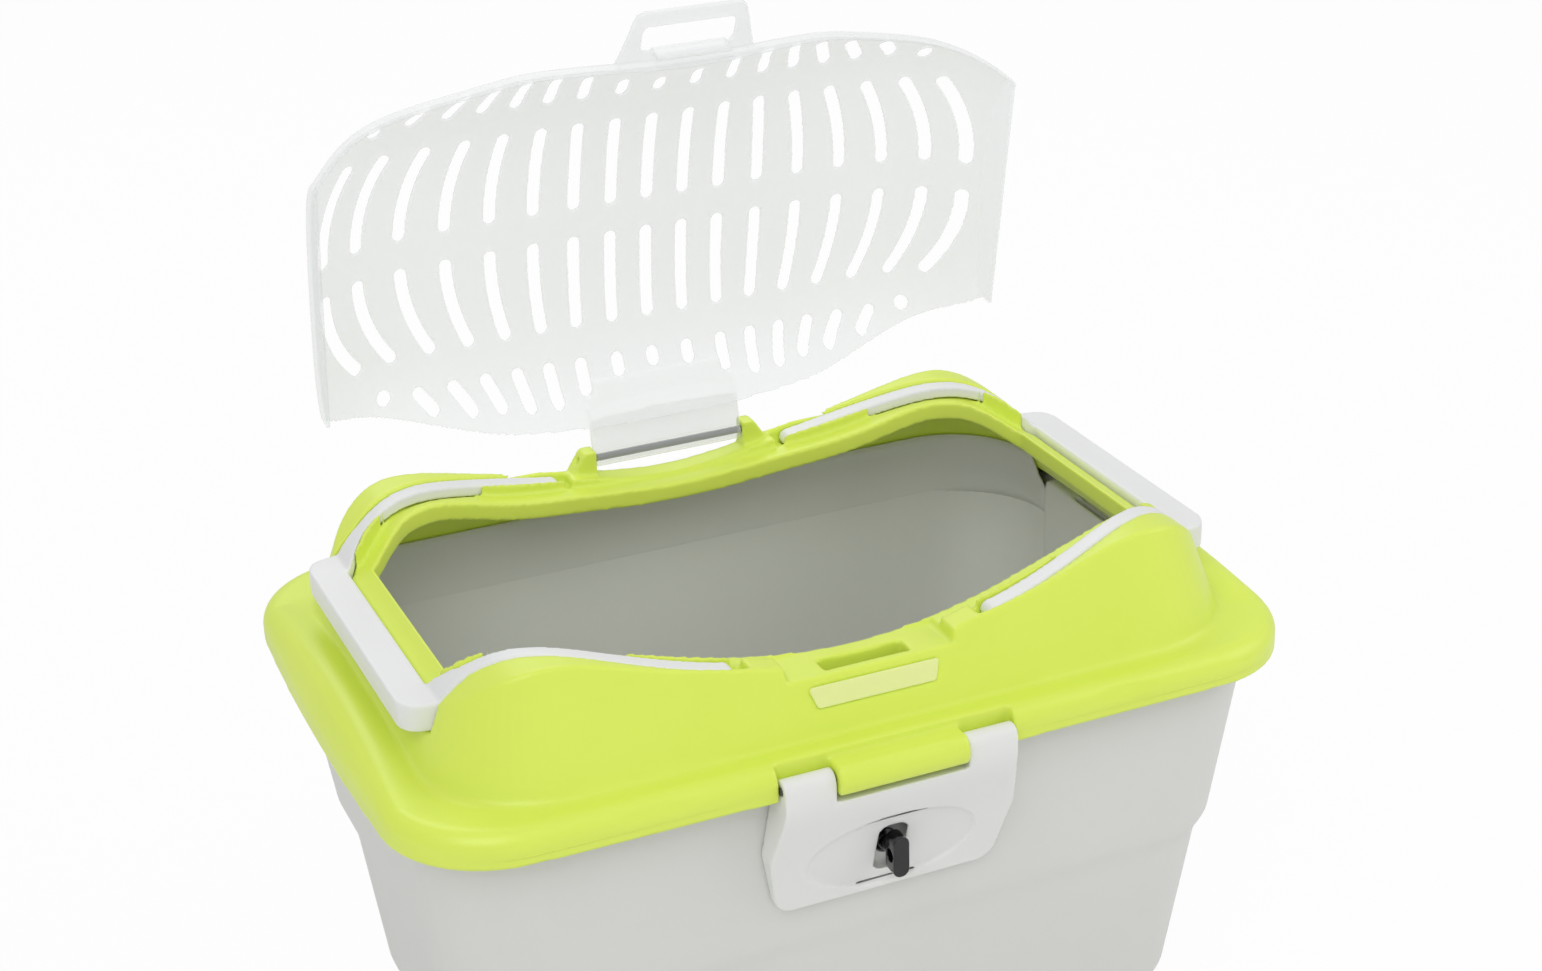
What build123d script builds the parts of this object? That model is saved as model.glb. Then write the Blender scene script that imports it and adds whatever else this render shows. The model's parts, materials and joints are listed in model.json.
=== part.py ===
from build123d import *
from math import cos, radians, sin, tan
import os

# Small animal carrier: a deep plastic tub, a coloured cover frame that clasps
# onto it, a slotted clear lid hinged on the frame and two swing handles.
# Millimetres. Origin at the centre of the footprint on the floor, X along the
# long side, the clasp that faces the user at -Y, Z up. The lid stands open.

# Tub: half sizes of each level, from the floor to the mouth
tub_wall = 2.5
foot_half_x, foot_half_y, foot_corner = 187.0, 113.0, 34.0
foot_height = 14.0
low_half_x, low_half_y, low_corner = 194.0, 120.0, 40.0
low_height = 28.0
waist_half_x, waist_half_y, waist_corner = 204.5, 133.0, 44.0
waist_height = 118.0
shoulder_half_x, shoulder_half_y, shoulder_corner = 211.0, 135.5, 46.0
shoulder_height = 127.0
mouth_half_x, mouth_half_y, mouth_corner = 226.0, 146.0, 48.0
mouth_height = 237.5
flange_reach = 2.0
flange_thickness = 3.0

# Boss inside each end wall of the tub, with two open pockets in its top
boss_half_width, boss_corner = 80.0, 5.0
boss_face_x = 213.5
boss_bottom, boss_top = 158.0, 229.0
pocket_inner_y, pocket_outer_y = 11.5, 49.5
pocket_rim, pocket_width, pocket_depth = 2.5, 4.4, 14.0

# Cover frame: soft rim round the tub mouth, then a shell that leans inwards
frame_wall = 2.5
rim_half_x, rim_half_y, rim_corner = 240.0, 159.0, 56.0
rim_end_bow, rim_side_bow = 6.5, 2.6
rim_drop = 15.5
rim_roll = 9.0
hump_half_x, hump_half_y, hump_corner = 214.0, 142.0, 58.0
hump_lean = 20.0
hump_reach = 66.0
skin_below_rail = 10.0

# Hooks under the back of the frame, which reach below the tub's flange
hook_gap, hook_wall = 0.7, 2.5
hook_x, hook_half_length = 110.0, 15.0

# Side view of the frame: outer ridge and the lower rail round the opening
ridge_line = [(0, 268.5), (30, 271), (60, 277), (94, 283.5), (127.5, 292.3),
              (150, 297), (165, 297), (180, 292), (195, 280.5), (206, 270)]
rail_line = [(0, 266.5), (30, 268), (59, 271.5), (85, 275.5), (111, 281.5), (137, 288.5),
             (155, 290.5), (170, 287), (187, 275.5), (206, 269)]
rail_width = 11.5

# Opening of the frame, a barrel seen from above
opening_line = [(0, 105), (59, 102), (111, 94), (137, 91), (164, 80.5)]
opening_end_x, opening_end_y = 187.0, 61.0
end_slope = 0.5

# Swing handles: two flat arms that follow the ridge and a grip bar
arm_line = [(71, 113.8), (99.5, 109.9), (133, 101.4), (166.5, 89.5), (186, 80.5)]
arm_width = 10.2
arm_thickness = 6.5
arm_below_ridge = 0.8
tip_corner = 4.0
grip_inner_x, grip_outer_x = 199.0, 217.0
grip_half_y, grip_corner = 84.0, 12.0
grip_inner_y = 66.0
grip_top, grip_bottom = 274.5, 260.5
handle_gap = 0.8
tip_room, tip_drop = 5.0, 2.0
pivot_x, pivot_z = 71.0, 273.0
pivot_radius = 4.5
stud_radius = 2.2
stud_length = 3.3
stud_end_gap = 0.6
running_gap = 0.08

# Lid hinge, and how far the lid stands open
hinge_y, hinge_z = 125.0, 282.0
lid_open_angle = 79.3
hinge_pin_radius = 2.0
hinge_barrel_radius = 5.0
hinge_tab_half = 43.0
lug_gap = 0.5
lug_thickness = 7.0
lug_foot_x, lug_foot_z = 58.0, 276.0
lug_root_z = 262.0

# Lid: clear slotted dome that rests on the rail
lid_wall = 2.2
lid_skirt = 8.0
lid_seat_gap = 0.6
lid_crown = 322.5
lid_stations = [0, 24, 48, 71, 92, 112, 133, 154, 174, 184, 193]
lid_front_half = [110, 110.5, 111, 110.5, 107.5, 102, 95.5, 88.5, 80.5, 75, 68]
lid_rear_half = [105, 105, 105, 104.5, 103, 99, 93.5, 87, 79.5, 74.5, 68]
lid_fall = [0, 0, 0, 0, 0.3, 1.0, 2.4, 5.6, 13.5, 20.0, 28.0]
lid_rear_lift = 4.5
lid_shoulder_at, lid_shoulder_share = 0.56, 0.125
lid_break_at, lid_break_share = 0.78, 0.33
lid_end_wall = 2.2

# Slots of the lid: columns bow outwards in the middle of the lid
slot_width = 6.6
slot_inner_y, slot_outer_y = 11.5, 58.0
slot_inner_x = [0, 20.7, 41.6, 64.2, 88.5, 113.4, 138.5, 162.9, 183.0]
slot_outer_x = [0, 20.7, 41.3, 61.4, 81.9, 102.6, 124.2, 146.5, 167.0]
slot_bow = [0, 0, 0, 0.8, 1.6, 2.4, 3.2, 4.0, 4.4]
edge_slot_start_y = 80.5
edge_slot_start_x = [0, 20.7, 41.4, 59.5, 77.4, 95.2, 113.6, 133.4]
edge_slot_end_x = [0, 20.7, 41.2, 58.2, 73.8, 89.4, 105.8, 126.9]
edge_slot_end_y = [83.7, 85.8, 92.0, 95.2, 95.0, 93.2, 92.0, 88.4]
edge_hole_x, edge_hole_y, edge_hole_radius = 153.0, 78.2, 3.9

# Grip loop and snap tongue at the front of the lid
loop_base_half, loop_tip_half = 39.0, 29.0
loop_root_y, loop_bend_y, loop_tip_y = -106.0, -127.0, -141.0
loop_root_z, loop_bend_z, loop_tip_z = 279.0, 272.5, 269.5
loop_thickness, loop_corner = 3.0, 6.0
window_half, window_back_y, window_front_y = 25.0, -117.5, -132.0
window_corner = 3.0
snap_half, snap_thickness, snap_depth = 20.0, 2.6, 11.0
snap_overlap = 1.0

# Hinge tab at the back of the lid: side view of its plate
tab_side = [(88, 304.5), (108, 292), (125, 287), (125, 282), (119.5, 279.5), (107, 285), (88, 300)]

# Catch slot and thumb pad in the front of the frame
catch_half_x = 22.5
catch_back_y, catch_front_y = -115.4, -126.3
panel_half_x, panel_z, panel_back_y = 44.0, 267.0, -105.0
pad_half_width, pad_foot_half, pad_height, pad_thickness = 34.5, 31.0, 10.5, 2.4
pad_centre_z = 258.0
pad_recess = 1.4
pad_gap = 0.3
pad_corner, pad_foot_corner = 1.5, 6.0

# Clasp, hung on a pin through the frame's tongue
notch_half_x = 62.0
notch_y = 152.0
notch_top = 247.0
tongue_half_x = 34.0
tongue_radius = 9.4
tongue_top, tongue_bottom = 235.8, 221.5
clasp_pin_y, clasp_pin_z = 158.2, 228.0
clasp_pin_radius = 2.0
ear_inner_x, ear_outer_x = 34.8, 61.0
ear_radius = 5.7
clasp_wide_half, clasp_wide_z = 65.0, 186.0
clasp_foot_half, clasp_foot_z = 58.0, 150.0
clasp_corner = 11.0
clasp_notch_z = 217.8
clasp_back_z = 215.0
clasp_wall = 2.4
clasp_face = [(163.9, 228), (163.2, 214), (158.4, 200), (151.8, 182), (146.8, 166), (142.6, 150)]
clasp_wall_gap = 0.5
clasp_window_half_x, clasp_window_half_z, clasp_window_corner = 7.5, 14.5, 5.0
pin_stand_out = 0.5
dish_half_x, dish_half_z, dish_depth, dish_tilt = 45.0, 24.0, 1.2, 18.0
dish_centre_y, dish_reach = 149.9, 20.0

# Turn lock: a black eye on a shaft through the tub wall
lock_z = 176.0
lock_shaft_radius = 3.6
lock_fin_back_y, lock_fin_front_y = 151.4, 160.4
lock_fin_width, lock_fin_height, lock_fin_round = 8.5, 22.0, 4.0
lock_eye_radius = 3.4
lock_collar_radius = 6.5
lock_ring_radius, lock_ring_thickness = 8.0, 2.0
lock_side_gap = 0.3
lock_collar_thickness = 1.8
wall_slope_room = 0.8

far = 400.0
line_tolerance = 1e-6


def both_ways(points):
    """The points of one half, joined to their mirror image across x = 0."""
    left = [(-x, value) for x, value in reversed(points) if x > 0]
    return left + list(points)


def lowered(points, amount):
    """The points of a side-view line, moved down."""
    return [(x, value - amount) for x, value in points]


def above(line, low_by, top):
    """Solid over the whole width, from a side-view line upwards."""
    curve = both_ways(lowered(line, low_by))
    (first_x, first_z), (last_x, last_z) = curve[0], curve[-1]
    with BuildPart() as block:
        with BuildSketch(Plane.XZ):
            with BuildLine():
                Spline(*curve)
                Polyline((last_x, last_z), (far, last_z - (far - last_x)), (far, top), (-far, top),
                         (-far, first_z - (far + first_x)), (first_x, first_z))
            make_face()
        extrude(amount=far, both=True)
    return block.part


def level(half_x, half_y, corner, height, inset=0.0):
    """One horizontal section of the tub."""
    with BuildSketch(Plane.XY.offset(height)) as section:
        RectangleRounded(2 * (half_x - inset), 2 * (half_y - inset), corner - inset)
    return section.sketch


def tub_levels(inset, floor):
    """Sections of the tub skin, moved in by inset, standing on floor."""
    return [
        level(foot_half_x, foot_half_y, foot_corner, floor, inset),
        level(foot_half_x, foot_half_y, foot_corner, foot_height + floor, inset),
        level(low_half_x, low_half_y, low_corner, low_height + floor, inset),
        level(waist_half_x, waist_half_y, waist_corner, waist_height, inset),
        level(shoulder_half_x, shoulder_half_y, shoulder_corner, shoulder_height, inset),
        level(mouth_half_x, mouth_half_y, mouth_corner, mouth_height, inset),
    ]


def tub_half_y(height):
    """Half width of the tub's outside at a height above the shoulder."""
    share = (height - shoulder_height) / (mouth_height - shoulder_height)
    return shoulder_half_y + share * (mouth_half_y - shoulder_half_y)


# Tub
boss_middle = (boss_top + boss_bottom) / 2
pocket_middle = (pocket_inner_y + pocket_outer_y) / 2
pocket_x = boss_face_x + pocket_rim + pocket_width / 2
with BuildPart() as cabin:
    loft(sections=tub_levels(tub_wall, tub_wall), ruled=True)
    for side in (-1, 1):
        with BuildSketch(Plane.YZ.offset(side * boss_face_x)):
            with Locations((0, boss_middle)):
                RectangleRounded(2 * boss_half_width, boss_top - boss_bottom, boss_corner)
        extrude(amount=side * far, mode=Mode.SUBTRACT)
with BuildPart() as tub:
    loft(sections=tub_levels(0, 0), ruled=True)
    with BuildSketch(Plane.XY.offset(mouth_height - flange_thickness)):
        RectangleRounded(2 * (mouth_half_x + flange_reach), 2 * (mouth_half_y + flange_reach),
                         mouth_corner + flange_reach)
    extrude(amount=flange_thickness)
    add(cabin.part, mode=Mode.SUBTRACT)
    with BuildSketch(Plane.XY.offset(boss_top)):
        with GridLocations(2 * pocket_x, 2 * pocket_middle, 2, 2):
            Rectangle(pocket_width, pocket_outer_y - pocket_inner_y)
    extrude(amount=-pocket_depth, mode=Mode.SUBTRACT)
    with BuildSketch(Plane.XZ):
        with Locations((0, lock_z)):
            Circle(lock_shaft_radius + running_gap)
    extrude(amount=far, mode=Mode.SUBTRACT)

tub.part.label = "tub"


# Cover frame
def rim_outline(inset, height):
    """Plan of the rim: a rounded rectangle with gently bowed sides."""
    corner_x = rim_half_x - rim_end_bow - inset
    corner_y = rim_half_y - rim_side_bow - inset
    end_x, side_y = rim_half_x - inset, rim_half_y - inset
    with BuildSketch(Plane.XY.offset(height)) as outline:
        with BuildLine():
            ThreePointArc((-corner_x, -corner_y), (0, -side_y), (corner_x, -corner_y))
            ThreePointArc((corner_x, -corner_y), (end_x, 0), (corner_x, corner_y))
            ThreePointArc((corner_x, corner_y), (0, side_y), (-corner_x, corner_y))
            ThreePointArc((-corner_x, corner_y), (-end_x, 0), (-corner_x, -corner_y))
        make_face()
        fillet(outline.vertices(), rim_corner - inset)
    return outline.sketch


def leaning_shell(inset, height, line, low_by):
    """Solid of the hump above a height, moved in by inset and topped by a side-view line."""
    side_inset = inset / cos(radians(hump_lean))
    with BuildPart() as hump:
        with BuildSketch(Plane.XY.offset(height)):
            RectangleRounded(2 * (hump_half_x - side_inset), 2 * (hump_half_y - side_inset),
                             hump_corner - side_inset)
        extrude(amount=hump_reach, taper=hump_lean)
        add(above(line, low_by, far), mode=Mode.SUBTRACT)
    return hump.part


def barrel(outset):
    """Plan of the opening, moved out by outset."""
    side = both_ways([(x, y + outset) for x, y in opening_line])
    (side_x, side_y) = side[-1]
    end_x, end_y = opening_end_x + outset, opening_end_y + outset * end_slope
    with BuildSketch() as plan:
        with BuildLine():
            Spline(*side)
            Polyline((side_x, side_y), (end_x, end_y), (end_x, -end_y), (side_x, -side_y))
            Spline(*[(x, -y) for x, y in side])
            Polyline((-side_x, -side_y), (-end_x, -end_y), (-end_x, end_y), (-side_x, side_y))
        make_face()
    return plan.sketch


def handle_plan(grow):
    """Plan of the right handle: two arms and the grip bar, moved out by grow."""
    inner = [(x, y - grow) for x, y in arm_line]
    outer = [(x, y + arm_width + grow) for x, y in arm_line]
    (start_x, start_y), (end_x, end_y) = inner[0], inner[-1]
    (top_x, top_y), (outer_x, outer_y) = outer[0], outer[-1]
    bar_inner_x, bar_inner_y = grip_inner_x - grow, grip_inner_y - grow * end_slope
    bar_outer_x, bar_outer_y = grip_outer_x + grow, grip_half_y + grow
    tip_x = start_x - pivot_radius - grow - (tip_room if grow else 0)
    with BuildSketch() as plan:
        with BuildLine():
            Spline(*inner)
            Polyline((end_x, end_y), (bar_inner_x, bar_inner_y), (bar_inner_x, -bar_inner_y),
                     (end_x, -end_y))
            Spline(*[(x, -y) for x, y in inner])
            Polyline((start_x, -start_y), (tip_x, -start_y), (tip_x, -top_y), (top_x, -top_y))
            Spline(*[(x, -y) for x, y in outer])
            Polyline((outer_x, -outer_y), (bar_outer_x, -bar_outer_y), (bar_outer_x, bar_outer_y),
                     (outer_x, outer_y))
            Spline(*outer)
            Polyline((top_x, top_y), (tip_x, top_y), (tip_x, start_y), (start_x, start_y))
        make_face()
        by_x = plan.vertices().group_by(Axis.X)
        fillet(by_x[-1], grip_corner + grow)
        fillet(by_x[0], tip_corner + grow)
    return plan.sketch


def handle_band(top_by, bottom_by):
    """Side view of the right handle, raised by top_by and lowered by bottom_by."""
    crest = [(x, z) for x, z in lowered(ridge_line, arm_below_ridge) if x > pivot_x and z > grip_top]
    top = [(pivot_x, pivot_z + pivot_radius)] + crest + [(grip_inner_x, grip_top)]
    under = [(x, z - arm_thickness) for x, z in top[:-2]] + [(grip_inner_x, grip_bottom)]
    top = [(x, z + top_by) for x, z in top]
    under = [(x, z - bottom_by) for x, z in under]
    with BuildSketch(Plane.XZ) as band:
        with BuildLine():
            Spline(*top)
            Polyline(top[-1], (far, top[-1][1]), (far, under[-1][1]), under[-1])
            Spline(*under)
            Line(top[0], under[0])
        make_face()
        with Locations((pivot_x, pivot_z)):
            Circle(pivot_radius + bottom_by)
        if top_by:
            with Locations((pivot_x, pivot_z - tip_drop)):
                Rectangle(2 * (pivot_radius + bottom_by + tip_room), far, align=(Align.CENTER, Align.MIN))
    return band.sketch


def handle_room(grow):
    """Room that the right handle needs in the frame, open upwards."""
    plan, band = handle_plan(grow), handle_band(far, grow)
    with BuildPart() as room:
        extrude(plan, amount=far)
        extrude(band, amount=far, both=True, mode=Mode.INTERSECT)
    return room.part


def bar_along_x(sketch, half_length):
    """Bar of a side-view section, centred on x = 0."""
    with BuildPart() as bar:
        extrude(sketch, amount=half_length, both=True)
    return bar.part


def pad_solid(grow):
    """Block of the thumb pad, moved out by grow; its lower corners are rounder."""
    half_width, foot_half, half_height = pad_half_width + grow, pad_foot_half + grow, pad_height / 2 + grow
    with BuildPart() as pad:
        with BuildSketch(pad_plane.offset(-pad_recess)) as outline:
            Polygon([(-half_width, half_height), (-foot_half, -half_height), (foot_half, -half_height),
                     (half_width, half_height)], align=None)
            corners = outline.vertices().group_by(Axis.Z)
            fillet(corners[-1], pad_corner + grow)
            fillet(corners[0], pad_foot_corner + grow)
        extrude(amount=pad_thickness)
    return pad.part


room = handle_room(handle_gap)
thick_room = handle_room(handle_gap + frame_wall)
with BuildSketch(Plane.YZ) as notch_side:
    with Locations((-notch_y, 0)):
        Rectangle(far, notch_top, align=(Align.MAX, Align.MIN))
with BuildSketch(Plane.YZ) as notch_skin_side:
    with Locations((-notch_y + frame_wall, 0)):
        Rectangle(far, notch_top, align=(Align.MAX, Align.MIN))
with BuildSketch(Plane.YZ) as tongue_side:
    with Locations((-clasp_pin_y, clasp_pin_z)):
        Circle(tongue_radius)
    with Locations((-notch_y + frame_wall / 2, tongue_bottom)):
        Rectangle(clasp_pin_y - notch_y + frame_wall / 2, tongue_top - tongue_bottom,
                  align=(Align.MAX, Align.MIN))
    with Locations((-clasp_pin_y, tongue_bottom)):
        Rectangle(far, tongue_top - tongue_bottom, align=(Align.CENTER, Align.MIN), mode=Mode.INTERSECT)

notch_skin = bar_along_x(notch_skin_side.sketch, notch_half_x + frame_wall)
hump_inside = leaning_shell(frame_wall, mouth_height, rail_line, skin_below_rail)
with BuildPart() as hollow:
    add(rim_outline(frame_wall, mouth_height - rim_drop))
    extrude(amount=rim_drop)
    fillet(hollow.faces().sort_by(Axis.Z)[-1].edges(), rim_roll - frame_wall)
    add(notch_skin, mode=Mode.SUBTRACT)
    add(hump_inside)
    add(thick_room, mode=Mode.SUBTRACT)
    add(thick_room.mirror(Plane.YZ), mode=Mode.SUBTRACT)

pad_lean = radians(hump_lean)
pad_y = hump_half_y - (pad_centre_z - mouth_height) * tan(pad_lean)
pad_plane = Plane(origin=(0, -pad_y, pad_centre_z), x_dir=(1, 0, 0),
                  z_dir=(0, -cos(pad_lean), sin(pad_lean)))
pad_room = pad_solid(pad_gap)
arm_middle_y = arm_line[0][1] + arm_width / 2
notch = bar_along_x(notch_side.sketch, notch_half_x)
tongue = bar_along_x(tongue_side.sketch, tongue_half_x)
hook_inner_y = mouth_half_y + flange_reach + hook_gap
toe_top = mouth_height - flange_thickness - hook_gap
toe_inner_y = tub_half_y(toe_top) + hook_gap
hook_outer_y, toe_bottom = hook_inner_y + hook_wall, toe_top - hook_wall
hook_root_z = mouth_height + frame_wall / 2
hump = leaning_shell(0, mouth_height, ridge_line, 0)
over_rail_line = above(rail_line, 0, far)
with BuildPart() as over_rail:
    add(barrel(rail_width))
    extrude(amount=far)
    add(over_rail_line, mode=Mode.INTERSECT)
with BuildPart() as frame:
    add(rim_outline(0, mouth_height - rim_drop))
    extrude(amount=rim_drop + frame_wall)
    fillet(frame.faces().sort_by(Axis.Z)[-1].edges(), rim_roll)
    add(hump)
    add(over_rail.part, mode=Mode.SUBTRACT)
    with BuildSketch(Plane.XY.offset(panel_z)):
        with Locations((0, panel_back_y)):
            Rectangle(2 * panel_half_x, far, align=(Align.CENTER, Align.MAX))
    extrude(amount=far, mode=Mode.SUBTRACT)
    add(hollow.part, mode=Mode.SUBTRACT)
    add(barrel(0))
    extrude(amount=far, mode=Mode.SUBTRACT)
    add(room, mode=Mode.SUBTRACT)
    add(room.mirror(Plane.YZ), mode=Mode.SUBTRACT)
    with BuildSketch(Plane.XY):
        with Locations((0, (catch_back_y + catch_front_y) / 2)):
            Rectangle(2 * catch_half_x, catch_back_y - catch_front_y)
    extrude(amount=far, mode=Mode.SUBTRACT)
    add(notch, mode=Mode.SUBTRACT)
    add(tongue)
    for side in (-1, 1):
        with BuildSketch(Plane.YZ.offset(side * hook_x)):
            Polygon([(hook_inner_y, hook_root_z), (hook_inner_y, toe_top), (toe_inner_y, toe_top),
                     (toe_inner_y, toe_bottom), (hook_outer_y, toe_bottom), (hook_outer_y, hook_root_z)],
                    align=None)
        extrude(amount=hook_half_length, both=True)
    add(pad_room, mode=Mode.SUBTRACT)
    lug_inner = hinge_tab_half + lug_gap
    lug_outer = lug_inner + lug_thickness
    lug_top = hinge_z + hinge_barrel_radius + lug_gap
    lug_half_y = hinge_barrel_radius + lug_gap
    for side in (-1, 1):
        with BuildSketch(Plane.XZ.offset(-hinge_y)):
            Polygon([(side * lug_inner, lug_root_z), (side * lug_inner, lug_top), (side * lug_outer, lug_top),
                     (side * lug_foot_x, lug_foot_z), (side * lug_foot_x, lug_root_z)], align=None)
        extrude(amount=lug_half_y, both=True)
        for end in (-1, 1):
            with Locations(Location((side * pivot_x, end * arm_middle_y, pivot_z), (-90 * end, 0, 0))):
                Cylinder(stud_radius + running_gap, arm_width / 2 + stud_length + stud_end_gap,
                         align=(Align.CENTER, Align.CENTER, Align.MIN), mode=Mode.SUBTRACT)
    with Locations(Location((0, hinge_y, hinge_z), (0, 90, 0))):
        Cylinder(hinge_pin_radius, 2 * far, mode=Mode.SUBTRACT)
    with Locations(Location((0, -clasp_pin_y, clasp_pin_z), (0, 90, 0))):
        Cylinder(clasp_pin_radius, 2 * tongue_half_x, mode=Mode.SUBTRACT)
frame.part.label = "cover_frame"

with BuildPart() as thumb_pad:
    add(pad_solid(0))
thumb_pad.part.label = "thumb_pad"

with BuildPart() as hinge_pin:
    with Locations(Location((0, hinge_y, hinge_z), (0, 90, 0))):
        Cylinder(hinge_pin_radius, 2 * lug_outer)
hinge_pin.part.label = "lid_hinge_pin"


# Handles
plan, band = handle_plan(0), handle_band(0, 0)
with BuildPart() as right_handle:
    extrude(plan, amount=far)
    extrude(band, amount=far, both=True, mode=Mode.INTERSECT)
    for end in (-1, 1):
        with Locations(Location((pivot_x, end * arm_middle_y, pivot_z), (-90 * end, 0, 0))):
            Cylinder(stud_radius, arm_width / 2 + stud_length, align=(Align.CENTER, Align.CENTER, Align.MIN))
with BuildPart() as left_handle:
    add(right_handle.part.mirror(Plane.YZ))
right_handle.part.label = "right_handle"
left_handle.part.label = "left_handle"


# Lid, shaped closed on the frame and then swung open about its pin
def height_on(line, x):
    """Height of a side-view line at x."""
    curve = Spline(*both_ways(line), mode=Mode.PRIVATE)
    low, high = 0.0, 1.0
    while high - low > line_tolerance:
        middle = (low + high) / 2
        low, high = (middle, high) if curve.position_at(middle).X < x else (low, middle)
    return curve.position_at(low).Y


def lid_curve(x, front, rear, fall, inset):
    """Outer or inner line of the lid's section, from its front edge to its rear edge."""
    edge = height_on(rail_line, x) + lid_skirt - inset
    rear_edge = edge + lid_rear_lift
    crown = lid_crown - fall - inset
    half, rear_half = front - inset, rear
    return [(-half, edge),
            (-half * lid_break_at, crown - lid_break_share * (crown - edge)),
            (-half * lid_shoulder_at, crown - lid_shoulder_share * (crown - edge)),
            (0, crown),
            (rear_half * lid_shoulder_at, crown - lid_shoulder_share * (crown - rear_edge)),
            (rear_half * lid_break_at, crown - lid_break_share * (crown - rear_edge)),
            (rear_half, rear_edge)]


def lid_section(x, shape):
    """Wall of the lid where it is cut across at x, with its front skirt down to the rail."""
    outer, inner = lid_curve(abs(x), *shape, 0), lid_curve(abs(x), *shape, lid_wall)
    foot = height_on(rail_line, abs(x)) + lid_seat_gap
    with BuildSketch(Plane.YZ.offset(x)) as section:
        with BuildLine():
            Line((outer[0][0], foot), outer[0])
            Spline(*outer)
            Line(outer[-1], inner[-1])
            Spline(*inner)
            Polyline(inner[0], (inner[0][0], foot), (outer[0][0], foot))
        make_face()
    return section.sketch


def lid_end(x, shape):
    """Whole area inside the lid's outer line at x, which closes its end."""
    outer = lid_curve(abs(x), *shape, 0)
    foot = height_on(rail_line, abs(x)) + lid_seat_gap
    with BuildSketch(Plane.YZ.offset(x)) as section:
        with BuildLine():
            Line((outer[0][0], foot), outer[0])
            Spline(*outer)
            Polyline(outer[-1], (outer[-1][0], foot), (outer[0][0], foot))
        make_face()
    return section.sketch


lid_shapes = list(zip(lid_front_half, lid_rear_half, lid_fall))
half_sections = list(zip(lid_stations, lid_shapes))
lid_sections = [(-x, shape) for x, shape in reversed(half_sections) if x] + half_sections
lid_ends = {side: lid_end(side * (lid_stations[-1] - lid_end_wall), lid_shapes[-1]) for side in (-1, 1)}
loop_side = [(loop_root_y, loop_root_z), (loop_bend_y, loop_bend_z), (loop_tip_y, loop_tip_z)]
with BuildPart() as loop:
    with BuildSketch(Plane.XY) as loop_plan:
        Polygon([(-loop_base_half, loop_root_y), (-loop_tip_half, loop_tip_y), (loop_tip_half, loop_tip_y),
                 (loop_base_half, loop_root_y)], align=None)
        fillet(loop_plan.vertices().sort_by(Axis.Y)[:2], loop_corner)
    extrude(amount=far)
    with BuildSketch(Plane.YZ):
        Polygon(loop_side + [(y, z - loop_thickness) for y, z in reversed(loop_side)], align=None)
    extrude(amount=far, both=True, mode=Mode.INTERSECT)
with BuildPart() as closed_lid:
    loft(sections=[lid_section(x, shape) for x, shape in lid_sections])
    for side in (-1, 1):
        extrude(lid_ends[side], amount=side * lid_end_wall)
    add(loop.part)
    with BuildSketch(Plane.YZ):
        Polygon(tab_side, align=None)
        with Locations((hinge_y, hinge_z)):
            Circle(hinge_barrel_radius)
    extrude(amount=hinge_tab_half, both=True)
    with BuildSketch(Plane.XY):
        with Locations((0, (window_back_y + window_front_y) / 2)):
            RectangleRounded(2 * window_half, window_back_y - window_front_y, window_corner)
        for side in (-1, 1):
            for row in (-1, 1):
                for start_x, end_x, bow in zip(slot_inner_x, slot_outer_x, slot_bow):
                    if side > 0 or start_x:
                        start = Vector(side * start_x, row * slot_inner_y)
                        end = Vector(side * end_x, row * slot_outer_y)
                        middle = (start + end) / 2 + Vector(side * bow, 0)
                        if bow:
                            SlotArc(ThreePointArc(start, middle, end, mode=Mode.PRIVATE), slot_width)
                        else:
                            SlotArc(Line(start, end, mode=Mode.PRIVATE), slot_width)
                for start_x, end_x, end_y in zip(edge_slot_start_x, edge_slot_end_x, edge_slot_end_y):
                    if side > 0 or start_x:
                        start = Vector(side * start_x, row * edge_slot_start_y)
                        end = Vector(side * end_x, row * end_y)
                        SlotArc(Line(start, end, mode=Mode.PRIVATE), slot_width)
                with Locations((side * edge_hole_x, row * edge_hole_y)):
                    Circle(edge_hole_radius)
    extrude(amount=far, mode=Mode.SUBTRACT)
    with BuildSketch(Plane.XY.offset(loop_bend_z)):
        with Locations((0, window_back_y + snap_overlap)):
            Rectangle(2 * snap_half, snap_thickness + snap_overlap, align=(Align.CENTER, Align.MAX))
    extrude(amount=-snap_depth)
    with Locations(Location((0, hinge_y, hinge_z), (0, 90, 0))):
        Cylinder(hinge_pin_radius + running_gap, 2 * far, mode=Mode.SUBTRACT)
with BuildPart() as lid:
    add(closed_lid.part.rotate(Axis((0, hinge_y, hinge_z), (1, 0, 0)), -lid_open_angle))
lid.part.label = "lid"


# Clasp with its pin, and the turn lock
def clasp_front(inset):
    """Front view of the clasp, moved in by inset."""
    top, foot_z = clasp_pin_z + ear_radius, clasp_foot_z + inset
    ear_x, wide_x, foot_x = ear_outer_x - inset, clasp_wide_half - inset, clasp_foot_half - inset
    with BuildSketch(Plane.XZ) as outline:
        Polygon([(-ear_x, top), (ear_x, top), (ear_x, clasp_back_z), (wide_x, clasp_wide_z),
                 (foot_x, foot_z), (-foot_x, foot_z), (-wide_x, clasp_wide_z), (-ear_x, clasp_back_z)],
                align=None)
        fillet(outline.vertices().sort_by(Axis.Y)[:2], clasp_corner - inset)
    return outline.sketch


def clasp_wall_y(height):
    """Where the clasp's edges lie on the tub wall at a height."""
    return tub_half_y(height) + clasp_wall_gap


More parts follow.
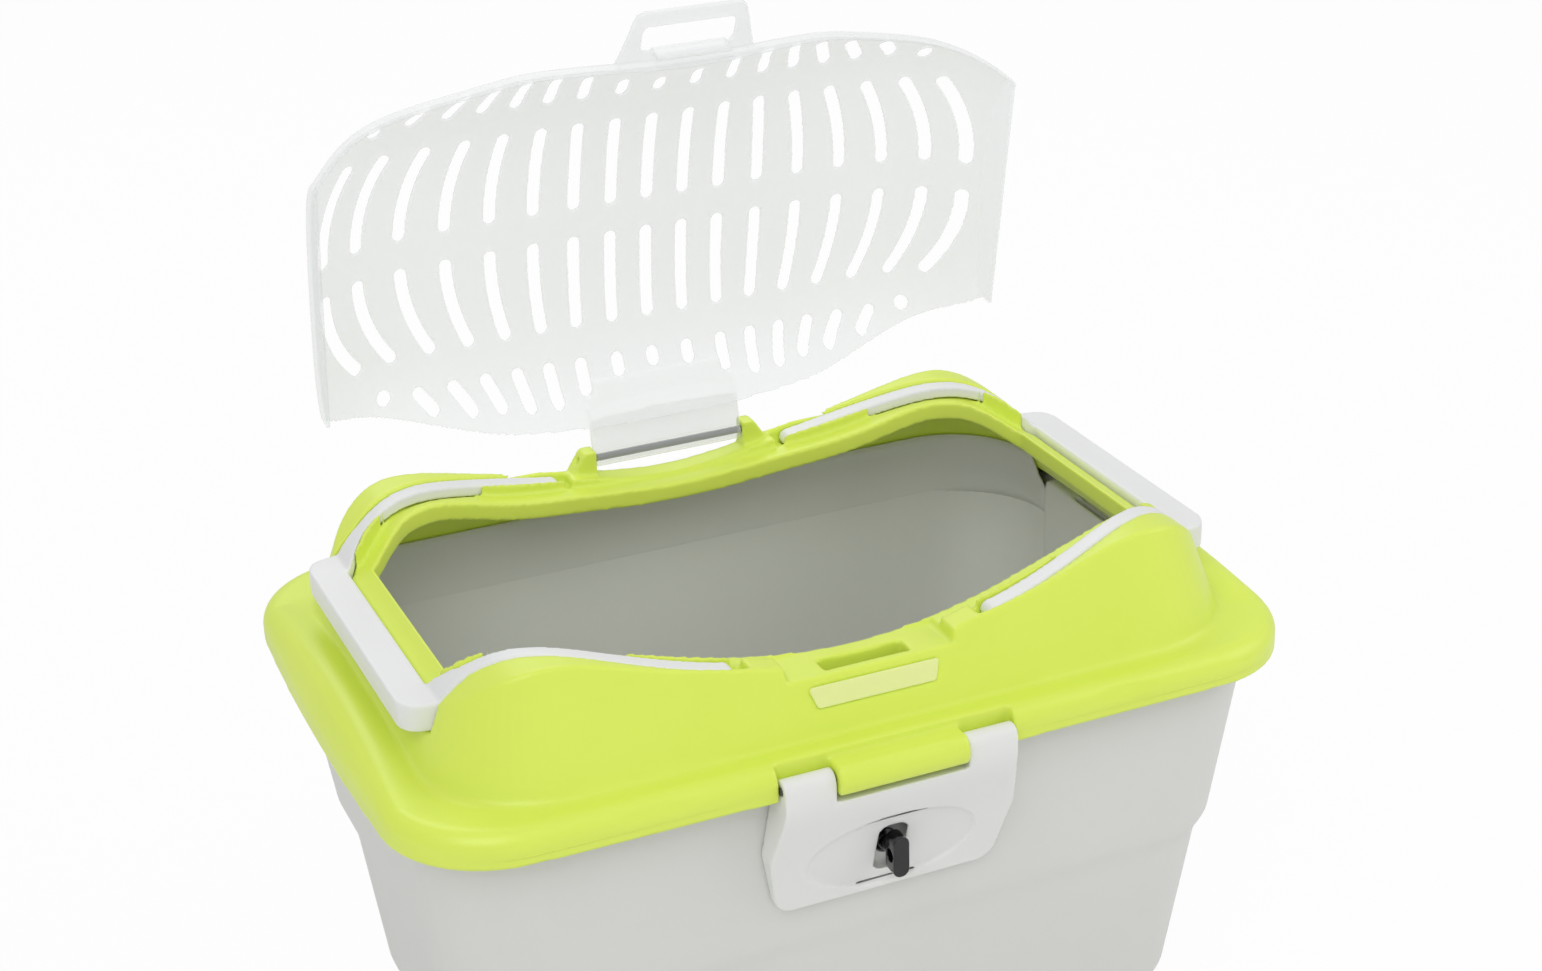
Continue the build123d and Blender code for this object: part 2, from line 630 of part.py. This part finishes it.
with BuildSketch(Plane.YZ) as clasp_profile:
    with BuildLine():
        Spline(*[(-y, z) for y, z in clasp_face])
        Polyline((-clasp_face[-1][0], clasp_foot_z), (-clasp_wall_y(clasp_foot_z), clasp_foot_z),
                 (-clasp_wall_y(clasp_back_z), clasp_back_z), (ear_radius - clasp_pin_y, tongue_bottom),
                 (ear_radius - clasp_pin_y, clasp_pin_z), (-clasp_face[0][0], clasp_pin_z))
    make_face()
    with Locations((-clasp_pin_y, clasp_pin_z)):
        Circle(ear_radius)
with BuildSketch(Plane.YZ) as clasp_inside:
    with BuildLine():
        Spline(*[(clasp_wall - y, z) for y, z in clasp_face[1:]])
        Polyline((clasp_wall - clasp_face[-1][0], clasp_foot_z), (0, clasp_foot_z), (0, clasp_face[1][1]),
                 (clasp_wall - clasp_face[1][0], clasp_face[1][1]))
    make_face()
dish_plane = Plane(origin=(0, -dish_centre_y, lock_z), x_dir=(1, 0, 0),
                   z_dir=(0, -cos(radians(dish_tilt)), -sin(radians(dish_tilt))))
clasp_outer_front, clasp_inner_front = clasp_front(0), clasp_front(clasp_wall)
with BuildPart() as clasp_hollow:
    extrude(clasp_inner_front, amount=far)
    extrude(clasp_inside.sketch, amount=far, both=True, mode=Mode.INTERSECT)
with BuildPart() as front_clasp:
    extrude(clasp_outer_front, amount=far)
    extrude(clasp_profile.sketch, amount=far, both=True, mode=Mode.INTERSECT)
    add(clasp_hollow.part, mode=Mode.SUBTRACT)
    with BuildSketch(Plane.XZ):
        with Locations((0, clasp_notch_z)):
            Rectangle(2 * ear_inner_x, far, align=(Align.CENTER, Align.MIN))
        with Locations((0, lock_z)):
            RectangleRounded(2 * clasp_window_half_x, 2 * clasp_window_half_z, clasp_window_corner)
    extrude(amount=far, mode=Mode.SUBTRACT)
    with BuildSketch(dish_plane.offset(-dish_depth)):
        Ellipse(dish_half_x, dish_half_z)
    extrude(amount=dish_reach, mode=Mode.SUBTRACT)
    with Locations(Location((0, -clasp_pin_y, clasp_pin_z), (0, 90, 0))):
        Cylinder(clasp_pin_radius + running_gap, 2 * far, mode=Mode.SUBTRACT)

with BuildPart() as front_clasp_pin:
    with Locations(Location((0, -clasp_pin_y, clasp_pin_z), (0, 90, 0))):
        Cylinder(clasp_pin_radius, 2 * (ear_outer_x + pin_stand_out))

wall_outside = tub_half_y(lock_z)
wall_inside = wall_outside - tub_wall
ring_front_y = wall_inside - lock_side_gap - wall_slope_room
collar_back_y = wall_outside + lock_side_gap
fin_middle_y = (lock_fin_back_y + lock_fin_front_y) / 2
with BuildPart() as front_lock:
    with BuildSketch(Plane.XZ.offset(ring_front_y - lock_ring_thickness)):
        with Locations((0, lock_z)):
            Circle(lock_shaft_radius)
    extrude(amount=lock_fin_back_y - ring_front_y + lock_ring_thickness)
    with BuildSketch(Plane.XZ.offset(collar_back_y + wall_slope_room)):
        with Locations((0, lock_z)):
            Circle(lock_collar_radius)
    extrude(amount=lock_collar_thickness)
    with BuildSketch(Plane.XZ.offset(lock_fin_back_y)):
        with Locations((0, lock_z)):
            RectangleRounded(lock_fin_width, lock_fin_height, lock_fin_round)
    extrude(amount=lock_fin_front_y - lock_fin_back_y)
    with Locations(Location((0, -fin_middle_y, lock_z), (0, 90, 0))):
        Cylinder(lock_eye_radius, 2 * lock_fin_width, mode=Mode.SUBTRACT)

with BuildPart() as front_lock_ring:
    with BuildSketch(Plane.XZ.offset(ring_front_y - lock_ring_thickness)):
        with Locations((0, lock_z)):
            Circle(lock_ring_radius)
            Circle(lock_shaft_radius, mode=Mode.SUBTRACT)
    extrude(amount=lock_ring_thickness)

front_clasp.part.label = "front_clasp"
front_clasp_pin.part.label = "front_clasp_pin"
front_lock.part.label = "front_lock"
front_lock_ring.part.label = "front_lock_ring"

os.makedirs("parts", exist_ok=True)
for piece in (tub, frame, thumb_pad, hinge_pin, right_handle, left_handle, lid, front_clasp, front_clasp_pin,
              front_lock, front_lock_ring):
    export_step(piece.part, "parts/" + piece.part.label + ".step")
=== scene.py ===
import json
import math
import bmesh
import bpy
from mathutils import Matrix, Vector
from mathutils.bvhtree import BVHTree

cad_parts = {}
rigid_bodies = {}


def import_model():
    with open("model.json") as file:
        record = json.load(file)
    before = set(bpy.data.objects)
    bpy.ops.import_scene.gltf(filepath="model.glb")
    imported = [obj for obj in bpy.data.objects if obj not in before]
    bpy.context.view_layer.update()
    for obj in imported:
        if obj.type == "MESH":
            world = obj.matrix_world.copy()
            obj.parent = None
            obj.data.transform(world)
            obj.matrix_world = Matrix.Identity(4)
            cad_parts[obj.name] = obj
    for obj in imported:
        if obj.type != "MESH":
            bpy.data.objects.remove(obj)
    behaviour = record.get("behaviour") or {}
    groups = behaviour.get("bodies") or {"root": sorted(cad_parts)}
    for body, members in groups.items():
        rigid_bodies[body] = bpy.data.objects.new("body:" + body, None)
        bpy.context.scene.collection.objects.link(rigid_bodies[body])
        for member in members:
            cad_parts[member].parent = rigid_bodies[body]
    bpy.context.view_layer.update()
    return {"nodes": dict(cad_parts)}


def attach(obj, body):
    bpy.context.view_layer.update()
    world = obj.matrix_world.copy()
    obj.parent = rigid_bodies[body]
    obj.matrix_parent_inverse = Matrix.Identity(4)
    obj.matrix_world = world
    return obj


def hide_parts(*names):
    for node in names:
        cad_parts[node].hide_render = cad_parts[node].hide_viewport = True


for leftover in list(bpy.data.objects):
    bpy.data.objects.remove(leftover)
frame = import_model()

# Camera: a short telephoto above the left front corner, turned a little
# anticlockwise, so the lid stands behind the open tub as in the photograph.
PHOTO_WIDTH = 1542
FOCAL_PIXELS = 2585.3
SENSOR_WIDTH = 36.0
CAMERA_PLACE = Vector((-0.4703, -1.1016, 0.8500))
AZIMUTH, ELEVATION, ROLL = math.radians(-23.446), math.radians(24.406), math.radians(-1.750)

ahead = Vector((-math.sin(AZIMUTH) * math.cos(ELEVATION), math.cos(AZIMUTH) * math.cos(ELEVATION),
                -math.sin(ELEVATION)))
level_right = Vector((math.cos(AZIMUTH), math.sin(AZIMUTH), 0))
level_up = level_right.cross(ahead)
right = level_right * math.cos(ROLL) + level_up * math.sin(ROLL)
up = level_up * math.cos(ROLL) - level_right * math.sin(ROLL)
lens = bpy.data.cameras.new("camera")
lens.sensor_width = SENSOR_WIDTH
lens.lens = FOCAL_PIXELS * SENSOR_WIDTH / PHOTO_WIDTH
camera = bpy.data.objects.new("camera", lens)
camera.matrix_world = Matrix.Translation(CAMERA_PLACE) @ Matrix((right, up, -ahead)).transposed().to_4x4()
bpy.context.scene.collection.objects.link(camera)
bpy.context.scene.camera = camera


# Cover frame: one thin injection moulding of lime polypropylene, satin from a
# spark-eroded mould, with soft edges all round. It hooks under the back of the
# tub's flange and is clasped down at the front.
MM = 0.001
PLASTIC_IOR = 1.49
# The mould's grain is about 0.1 mm; it is drawn coarser, because that is too fine to show.
GRAIN_MM, GRAIN_DEPTH_MM, GRAIN_STRENGTH = 0.5, 0.02, 0.3
# Handling rubs some patches a little smoother and leaves others a little duller.
RUBBED_PATCH_MM, SMOOTHER, ROUGHER = 18.0, 0.05, 0.06
# Light sinks in by this much, and blue less than red and green.
GLOW_DEPTH_MM, GLOW_COLOURS = 2.5, (1.0, 1.0, 0.8)


def linear(hex_colour):
    """sRGB hex to the linear colour that a socket takes."""
    channels = [int(hex_colour[i:i + 2], 16) / 255 for i in (1, 3, 5)]
    return [c / 12.92 if c <= 0.04045 else ((c + 0.055) / 1.055) ** 2.4 for c in channels] + [1.0]


def add_node(tree, kind, settings=None, **inputs):
    """Add one node; an input, named or i and its number, is a value or the socket that feeds it."""
    node = tree.nodes.new("ShaderNode" + kind)
    for name, value in (settings or {}).items():
        setattr(node, name, value)
    for name, value in inputs.items():
        socket = node.inputs[int(name[1:])] if name[0] == "i" and name[1:].isdigit() \
            else node.inputs[name.replace("_", " ")]
        if isinstance(value, bpy.types.NodeSocket):
            tree.links.new(value, socket)
        else:
            socket.default_value = value
    return node


def moulded_plastic(name, base, shade, roughness, subsurface=0.0, alpha=1.0, coat=0.0, flow_mm=60.0):
    """Moulded plastic: even colour with faint flow marks, fine sparked grain, rubbed patches."""
    material = bpy.data.materials.new(name)
    material.use_nodes = True
    tree = material.node_tree
    tree.nodes.clear()
    place = add_node(tree, "TexCoord").outputs["Object"]
    flow = add_node(tree, "TexNoise", Vector=place, Scale=1 / (flow_mm * MM), Detail=3.0, Roughness=0.5)
    colour = add_node(tree, "Mix", {"data_type": "RGBA"}, i0=flow.outputs["Fac"],
                      i6=linear(base), i7=linear(shade))
    grain = add_node(tree, "TexNoise", Vector=place, Scale=1 / (GRAIN_MM * MM), Detail=2.0, Roughness=0.6)
    wear = add_node(tree, "TexNoise", Vector=place, Scale=1 / (RUBBED_PATCH_MM * MM), Detail=4.0,
                    Roughness=0.65)
    gloss = add_node(tree, "MapRange", Value=wear.outputs["Fac"], i3=roughness - SMOOTHER,
                     i4=roughness + ROUGHER)
    bump = add_node(tree, "Bump", Height=grain.outputs["Fac"], Strength=GRAIN_STRENGTH,
                    Distance=GRAIN_DEPTH_MM * MM)
    shader = add_node(tree, "BsdfPrincipled", Base_Color=colour.outputs[2], Roughness=gloss.outputs[0],
                      Normal=bump.outputs[0], IOR=PLASTIC_IOR, Alpha=alpha)
    shader.inputs["Subsurface Weight"].default_value = subsurface
    shader.inputs["Subsurface Radius"].default_value = GLOW_COLOURS
    shader.inputs["Subsurface Scale"].default_value = GLOW_DEPTH_MM * MM
    shader.inputs["Coat Weight"].default_value = coat
    add_node(tree, "OutputMaterial", Surface=shader.outputs[0])
    return material


def dress(piece, material):
    piece.data.materials.clear()
    piece.data.materials.append(material)


def placed(name, mesh_or_curve):
    """A new object in the scene."""
    piece = bpy.data.objects.new(name, mesh_or_curve)
    bpy.context.scene.collection.objects.link(piece)
    return piece


def final_mesh(piece):
    """The piece's mesh with its modifiers or bevel worked in."""
    return bpy.data.meshes.new_from_object(piece.evaluated_get(bpy.context.evaluated_depsgraph_get()))


def modified(piece, settings):
    """Apply a list of modifiers, each a kind and its settings, to a piece's mesh."""
    for kind, values in settings:
        modifier = piece.modifiers.new(kind, kind)
        for name, value in values.items():
            setattr(modifier, name, value)
    shaped = final_mesh(piece)
    piece.modifiers.clear()
    piece.data = shaped


def softened(node, name, grid_mm, passes, keep):
    """A copy of a moulding with its sharp corners rounded over, as a mould leaves them."""
    piece = placed(name, frame["nodes"][node].data.copy())
    modified(piece, [("REMESH", {"mode": "VOXEL", "voxel_size": grid_mm * MM}),
                     ("SMOOTH", {"factor": 0.5, "iterations": passes}),
                     ("DECIMATE", {"ratio": keep})])
    piece.data.shade_smooth()
    return piece


def smooth_part(piece, weight_of, passes):
    """Smooth only where weight_of(point in mm) is above zero."""
    group = piece.vertex_groups.new(name="part")
    for vertex in piece.data.vertices:
        weight = weight_of(vertex.co / MM)
        if weight > 0:
            group.add([vertex.index], weight, "REPLACE")
    modified(piece, [("SMOOTH", {"factor": 0.5, "iterations": passes, "vertex_group": "part"})])
    piece.vertex_groups.clear()


def raise_by(piece, rise_of):
    """Lift each point by rise_of(point in mm), in mm."""
    for vertex in piece.data.vertices:
        vertex.co.z += rise_of(vertex.co / MM) * MM
    piece.data.shade_smooth()


# Foot of the hump, where it flares out onto the rim, except behind the clasp
RIM_TOP, HUMP_HALF_X, HUMP_HALF_Y, HUMP_CORNER = 240.0, 214.0, 142.0, 58.0
FLARE_REACH, FLARE_LIFT, FLARE_PASSES = 9.0, 1.0, 60
CLASP_ROOM_X = 75.0
# Swell of the rim's two ends under the grips
END_SWELL, END_SWELL_IN, RIM_OUT, END_SWELL_HALF = 8.0, 208.0, 240.0, 112.0


def beyond_hump(x, y):
    """Distance in mm from the hump's foot line, seen from above, outwards."""
    over_x, over_y = abs(x) - HUMP_HALF_X + HUMP_CORNER, abs(y) - HUMP_HALF_Y + HUMP_CORNER
    return math.hypot(max(over_x, 0), max(over_y, 0)) + min(max(over_x, over_y), 0) - HUMP_CORNER


def foot_weight(point):
    """Share of the flare: full where the hump meets the rim, none at the flare's reach."""
    if abs(point.x) <= CLASP_ROOM_X and point.y <= 0:
        return 0.0
    near_foot = 1 - abs(beyond_hump(point.x, point.y)) / FLARE_REACH
    near_top = 1 - abs(point.z - RIM_TOP - FLARE_LIFT) / FLARE_REACH
    return max(0.0, min(near_foot, near_top))


def end_rise(point):
    """How far the rim's end swells up under the grip, in mm."""
    across = (abs(point.x) - END_SWELL_IN) / (RIM_OUT - END_SWELL_IN)
    along = 1 - (point.y / END_SWELL_HALF) ** 2
    if not 0 < across < 1 or along <= 0:
        return 0.0
    upper = min(max((point.z - RIM_TOP + END_SWELL) / END_SWELL, 0), 1)
    return END_SWELL * along * math.sin(math.pi * across) * upper


cover = softened("cover_frame", "cover_moulding", grid_mm=1.15, passes=5, keep=0.6)
smooth_part(cover, foot_weight, FLARE_PASSES)
raise_by(cover, end_rise)
# Lime polypropylene: satin, so the lamps show as soft bands; a little light sinks in.
lime = moulded_plastic("lime polypropylene", "#E3F466", "#DDF05A", roughness=0.34, subsurface=0.2)
dress(cover, lime)
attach(cover, "base")
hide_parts("cover_frame")


# Rim bead: a fine raised line that the mould's parting leaves round the frame,
# 5 mm above its lower edge. It is moulded in one with the frame, of the same
# polypropylene, and stops at both sides of the clasp.
BEAD_HEIGHT, BEAD_RADIUS, BEAD_SINK = 227.4, 0.9, 0.9
BEAD_STEPS, BEAD_END_X = 360, 64.0
# The line starts at the middle of the front, a quarter turn back from +X, and
# each of its points is found from this far outside, in metres.
FIRST_TURN = -0.25
OUTSIDE = 0.5

rim_mesh = frame["nodes"]["cover_frame"].data
rim_tree = BVHTree.FromPolygons([vertex.co for vertex in rim_mesh.vertices],
                                [face.vertices[:] for face in rim_mesh.polygons])
bead_line = []
for step in range(BEAD_STEPS):
    angle = (step / BEAD_STEPS + FIRST_TURN) * 2 * math.pi
    away = Vector((math.cos(angle), math.sin(angle), 0))
    spot = rim_tree.ray_cast(away * OUTSIDE + Vector((0, 0, BEAD_HEIGHT * MM)), -away)[0]
    if spot.y > 0 or abs(spot.x) > BEAD_END_X * MM:
        bead_line.append(spot - away * BEAD_SINK * MM)
bead_curve = bpy.data.curves.new("rim_bead", "CURVE")
bead_curve.dimensions = "3D"
bead_curve.bevel_depth = BEAD_RADIUS * MM
bead_curve.bevel_resolution = 2
bead_spline = bead_curve.splines.new("POLY")
bead_spline.points.add(len(bead_line) - 1)
for point, spot in zip(bead_spline.points, bead_line):
    point.co = (*spot, 1)
bead_shape = placed("rim_bead_line", bead_curve)
bead_mesh = final_mesh(bead_shape)
bpy.data.objects.remove(bead_shape)
bead = placed("rim_bead", bead_mesh)
bead.data.shade_smooth()
dress(bead, lime)
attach(bead, "base")


# Thumb pad: a pad pressed into the frame, coloured a paler lime than the frame round it.
# Light goes into it a good way, which makes it look milky.
pad_plastic = moulded_plastic("pale lime polypropylene", "#F0F8AE", "#EAF4A2", roughness=0.30,
                              subsurface=0.5)
pad = softened("thumb_pad", "pad_moulding", grid_mm=0.45, passes=3, keep=0.6)
dress(pad, pad_plastic)
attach(pad, "base")
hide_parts("thumb_pad")


# Tub: a deep injection moulding of light grey polypropylene, with a waist step
# that lets tubs stack, and a boss inside each end. It is duller than the frame,
# so its large walls show hardly any reflection.
BOSS_HALF_WIDTH, BOSS_INSIDE_X, BOSS_ROOT, BOSS_TOP = 80.8, 222.0, 200.0, 231.0
BOSS_RISE, BOSS_FADE, BOSS_STEEPNESS = 5.0, 2.0, 1.2


def boss_rise(point):
    """How much higher the boss stands than its solid, in mm: most at its top."""
    if abs(point.y) > BOSS_HALF_WIDTH or not BOSS_ROOT < point.z < BOSS_TOP:
        return 0.0
    inside = min(max((BOSS_INSIDE_X - abs(point.x)) / BOSS_FADE, 0), 1)
    upper = min((point.z - BOSS_ROOT) / (BOSS_TOP - BOSS_ROOT) * BOSS_STEEPNESS, 1)
    return BOSS_RISE * inside * upper


tub = softened("tub", "tub_moulding", grid_mm=1.7, passes=7, keep=0.25)
raise_by(tub, boss_rise)
tub_plastic = moulded_plastic("light grey polypropylene", "#E1E2DE", "#DCDDD9", roughness=0.42,
                              subsurface=0.1, flow_mm=120.0)
dress(tub, tub_plastic)
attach(tub, "base")
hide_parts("tub")


# Upstand: the tub's wall goes on above its flange and leans in behind the
# frame's shell, so grey shows under the opening's edge and not lime. It stops at
# the two end bosses, whose tops are open to the cabin. Each level has its height,
# its two half sizes and its corner.
UPSTAND_LEVELS = [(250.6, 206.0, 134.0, 50.0), (246.0, 207.7, 135.7, 51.7), (241.5, 209.3, 137.3, 53.3),
                  (237.0, 210.8, 138.6, 54.0), (231.0, 213.8, 139.9, 53.0), (222.0, 217.8, 141.3, 50.5),
                  (212.0, 220.6, 142.2, 48.0), (203.0, 221.0, 142.4, 47.0)]
UPSTAND_WALL = 1.3
CORNER_STEPS = 12
CORNERS = ((1, 1), (-1, 1), (-1, -1), (1, -1))


def rounded_loop(half_x, half_y, corner, height):
    """Points in mm of a rounded rectangle, anticlockwise, as many on each side as on each corner."""
    arcs = []
    for quarter, (side_x, side_y) in enumerate(CORNERS):
        middle = Vector((side_x * (half_x - corner), side_y * (half_y - corner), height))
        turns = [(quarter + step / CORNER_STEPS) * math.pi / 2 for step in range(CORNER_STEPS + 1)]
        arcs.append([middle + Vector((math.cos(turn), math.sin(turn), 0)) * corner for turn in turns])
    points = []
    for arc, following in zip(arcs, arcs[1:] + arcs[:1]):
        points += arc
        points += [arc[-1].lerp(following[0], step / CORNER_STEPS) for step in range(1, CORNER_STEPS)]
    return points


upstand_shape = bmesh.new()
loops = [[upstand_shape.verts.new(point * MM) for point in rounded_loop(half_x, half_y, corner, height)]
         for height, half_x, half_y, corner in UPSTAND_LEVELS]
for upper, lower in zip(loops, loops[1:]):
    for index in range(len(upper)):
        following = (index + 1) % len(upper)
        upstand_shape.faces.new((upper[index], upper[following], lower[following], lower[index]))
for side in (-1, 1):
    everything = upstand_shape.verts[:] + upstand_shape.edges[:] + upstand_shape.faces[:]
    bmesh.ops.bisect_plane(upstand_shape, geom=everything, plane_co=(0, side * BOSS_HALF_WIDTH * MM, 0),
                           plane_no=(0, 1, 0))
over_boss = [face for face in upstand_shape.faces
             if abs(face.calc_center_median().y) < BOSS_HALF_WIDTH * MM]
bmesh.ops.delete(upstand_shape, geom=over_boss, context="FACES")
bmesh.ops.recalc_face_normals(upstand_shape, faces=upstand_shape.faces)
upstand_mesh = bpy.data.meshes.new("tub_upstand")
upstand_shape.to_mesh(upstand_mesh)
upstand = placed("tub_upstand", upstand_mesh)
modified(upstand, [("SOLIDIFY", {"thickness": UPSTAND_WALL * MM, "offset": -1.0})])
upstand.data.shade_smooth()
dress(upstand, tub_plastic)
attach(upstand, "base")


# Handles: two stiff swing handles of near-white polypropylene, each moulded in
# one with the studs on which it turns in the frame. Hands keep them a little
# smoother than the tub, so their edges catch the light.
handle_plastic = moulded_plastic("white grey polypropylene", "#EDEEEE", "#E9EAEA", roughness=0.36,
                                 subsurface=0.15)
for side in ("left", "right"):
    handle = softened(side + "_handle", side + "_handle_moulding", grid_mm=0.9, passes=8, keep=0.6)
    dress(handle, handle_plastic)
    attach(handle, side + "_handle")
    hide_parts(side + "_handle")


# Lid: milky polypropylene with no colour in it, so thin that most of the light
# comes through. The slots let air in; the grip loop and its snap tongue are
# moulded on.
lid_plastic = moulded_plastic("milky polypropylene", "#F8FAFB", "#F4F7F8", roughness=0.30, alpha=0.30)
lid = softened("lid", "lid_moulding", grid_mm=0.8, passes=3, keep=0.5)
dress(lid, lid_plastic)
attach(lid, "lid")
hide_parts("lid")


# Clasp: a light grey polypropylene plate with a shallow dish round its window,
# moulded in one with the two ears that hang on its pin. It is satin, so the dish
# shows by its soft shading.
clasp_plastic = moulded_plastic("clasp polypropylene", "#EEEFEC", "#E9EAE7", roughness=0.38,
                                subsurface=0.15)
clasp = softened("front_clasp", "clasp_moulding", grid_mm=0.7, passes=6, keep=0.5)
dress(clasp, clasp_plastic)
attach(clasp, "front_clasp")
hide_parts("front_clasp")


# Pins: two lengths of dull drawn wire, pressed into the frame's lugs and through
# its clasp tongue. Only their dark ends show.
wire = moulded_plastic("drawn steel wire", "#5A5B5C", "#4E4F50", roughness=0.35)
for name in ("lid_hinge_pin", "front_clasp_pin"):
    dress(frame["nodes"][name], wire)


# Turn lock: a black ABS eye on a shaft through the tub wall, held inside by a
# pressed-on ring. Turned a quarter, it bars the clasp's window. It comes from a
# polished mould, so it is glossy and shows the lamps as sharp lights.
black_plastic = moulded_plastic("black ABS", "#0B0B0C", "#0E0E0F", roughness=0.12, coat=0.3)
lock = softened("front_lock", "lock_moulding", grid_mm=0.35, passes=5, keep=0.5)
dress(lock, black_plastic)
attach(lock, "front_lock")
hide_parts("front_lock")
dress(frame["nodes"]["front_lock_ring"], black_plastic)


# Room: a matt white floor, which turns white to the camera but keeps the
# object's shadow, under three broad soft lamps and an even pale sky.
FLOOR_SIZE = 12.0
FLOOR_GLOW = 0.94
ROOM_LIGHT, SEEN_LIGHT = 0.55, 1.0
LOOKED_AT = Vector((0, 0, 0.2))

floor_finish = bpy.data.materials.new("matt white floor")
floor_finish.use_nodes = True
floor_tree = floor_finish.node_tree
floor_tree.nodes.clear()
matt = add_node(floor_tree, "BsdfDiffuse", Color=linear("#F2F2F2"))
glow = add_node(floor_tree, "Emission", Color=(1, 1, 1, 1), Strength=1.0)
floor_rays = add_node(floor_tree, "LightPath")
floor_seen = add_node(floor_tree, "Math", {"operation": "MULTIPLY"}, i0=floor_rays.outputs["Is Camera Ray"],
                      i1=FLOOR_GLOW)
floor_mixed = add_node(floor_tree, "MixShader", i0=floor_seen.outputs[0], i1=matt.outputs[0],
                       i2=glow.outputs[0])
add_node(floor_tree, "OutputMaterial", Surface=floor_mixed.outputs[0])

floor_mesh = bpy.data.meshes.new("floor")
floor_shape = bmesh.new()
bmesh.ops.create_grid(floor_shape, x_segments=1, y_segments=1, size=FLOOR_SIZE / 2)
floor_shape.to_mesh(floor_mesh)
floor = placed("floor", floor_mesh)
dress(floor, floor_finish)

for name, place, size, power in (("key lamp", (-1.2, -1.6, 2.4), 1.8, 26.0),
                                 ("fill lamp", (1.9, -1.0, 1.6), 1.6, 12.0),
                                 ("back lamp", (0.3, 2.0, 2.2), 1.6, 14.0)):
    light = bpy.data.lights.new(name, "AREA")
    light.shape = "SQUARE"
    light.size = size
    light.energy = power
    lamp = placed(name, light)
    lamp.location = place
    lamp.rotation_euler = (LOOKED_AT - lamp.location).to_track_quat("-Z", "Y").to_euler()

world = bpy.data.worlds.new("soft room")
world.use_nodes = True
sky = world.node_tree
sky.nodes.clear()
rays = add_node(sky, "LightPath")
seen = add_node(sky, "Math", {"operation": "MAXIMUM"}, i0=rays.outputs["Is Camera Ray"],
                i1=rays.outputs["Is Transmission Ray"])
strength = add_node(sky, "MapRange", Value=seen.outputs[0], i3=ROOM_LIGHT, i4=SEEN_LIGHT)
room_light = add_node(sky, "Background", Color=(1, 1, 1, 1), Strength=strength.outputs[0])
add_node(sky, "OutputWorld", Surface=room_light.outputs[0])
bpy.context.scene.world = world
bpy.context.scene.view_settings.view_transform = "Standard"
